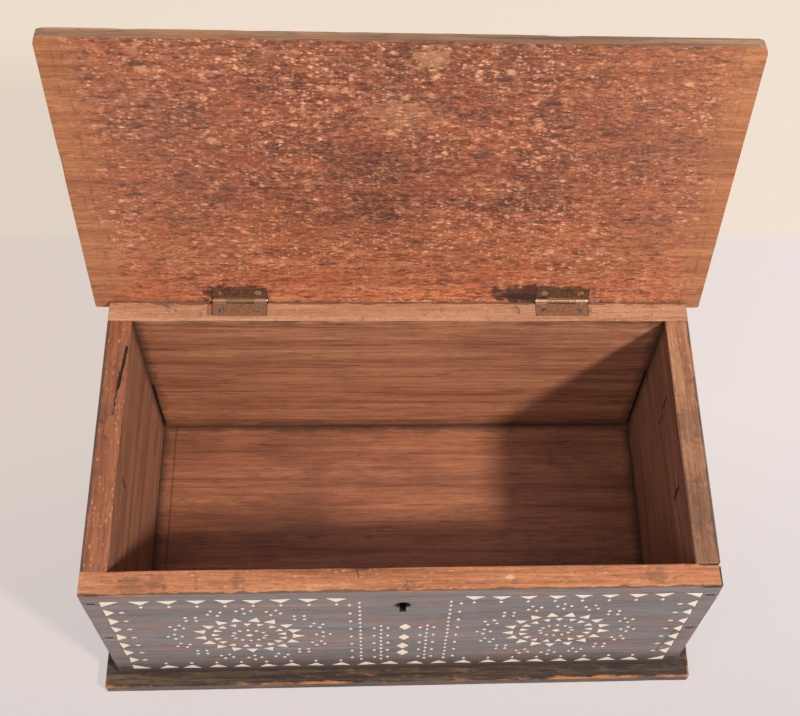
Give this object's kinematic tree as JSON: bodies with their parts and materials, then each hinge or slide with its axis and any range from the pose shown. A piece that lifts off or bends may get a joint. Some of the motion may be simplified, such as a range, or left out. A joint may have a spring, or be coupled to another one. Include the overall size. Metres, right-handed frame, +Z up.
{
  "type": "inlaid wooden box",
  "caption": "Rectangular wooden box of nailed boards with a hinged lid, bone inlay set flush in the front and lid, and a keyhole through the front.",
  "frame": {"origin": "centre of the base board's underside, under the middle of the box's walls", "axes": "+Z up, -Y out of the inlaid front, +X to the right seen from the front; the lid is open and leans back over +Y"},
  "size_m": [0.4, 0.2551, 0.3701],
  "materials": {
    "wall_wood": "old dark-stained hardwood, worn satin",
    "lid_wood": "old red-brown hardwood, worn matt",
    "base_wood": "old dark-stained hardwood, worn edges",
    "bone": "polished bone, yellowed",
    "hinge_brass": "tarnished, knuckles rubbed bright",
    "screw_brass": "tarnished",
    "nail_iron": "rusted"
  },
  "bodies": {
    "box": {"back_board": "wall_wood", "back_corner_nails": "nail_iron", "base_board": "base_wood", "base_nails": "nail_iron", "front_bead_columns": "bone", "front_board": "wall_wood", "front_border_dots": "bone", "front_border_teeth": "bone", "front_centre_lozenges": "bone", "front_column_dots": "bone", "front_corner_nails": "nail_iron", "front_corner_wedges": "bone", "front_left_rosette_clusters": "bone", "front_left_rosette_heart": "bone", "front_left_rosette_inner_rays": "bone", "front_left_rosette_outer_rays": "bone", "front_right_rosette_clusters": "bone", "front_right_rosette_heart": "bone", "front_right_rosette_inner_rays": "bone", "front_right_rosette_outer_rays": "bone", "left_hinge_pin": "hinge_brass", "left_hinge_rim_leaf": "hinge_brass", "left_hinge_rim_screws": "screw_brass", "left_side_board": "wall_wood", "right_hinge_pin": "hinge_brass", "right_hinge_rim_leaf": "hinge_brass", "right_hinge_rim_screws": "screw_brass", "right_side_board": "wall_wood"},
    "lid": {"left_hinge_lid_leaf": "hinge_brass", "left_hinge_lid_screws": "screw_brass", "lid_bead_columns": "bone", "lid_bead_rings": "bone", "lid_board": "lid_wood", "lid_border_dots": "bone", "lid_border_teeth": "bone", "lid_centre_lozenges": "bone", "lid_column_dots": "bone", "lid_corner_wedges": "bone", "lid_left_rosette_clusters": "bone", "lid_left_rosette_heart": "bone", "lid_left_rosette_inner_rays": "bone", "lid_left_rosette_outer_rays": "bone", "lid_right_rosette_clusters": "bone", "lid_right_rosette_heart": "bone", "lid_right_rosette_inner_rays": "bone", "lid_right_rosette_outer_rays": "bone", "right_hinge_lid_leaf": "hinge_brass", "right_hinge_lid_screws": "screw_brass"}
  },
  "joints": [
    {"name": "lid_hinge", "type": "hinge", "parent": "box", "child": "lid", "pos_m": [0, 0.1012, 0.16415], "axis": [1, 0, 0], "range_deg": [0, 100]}
  ]
}
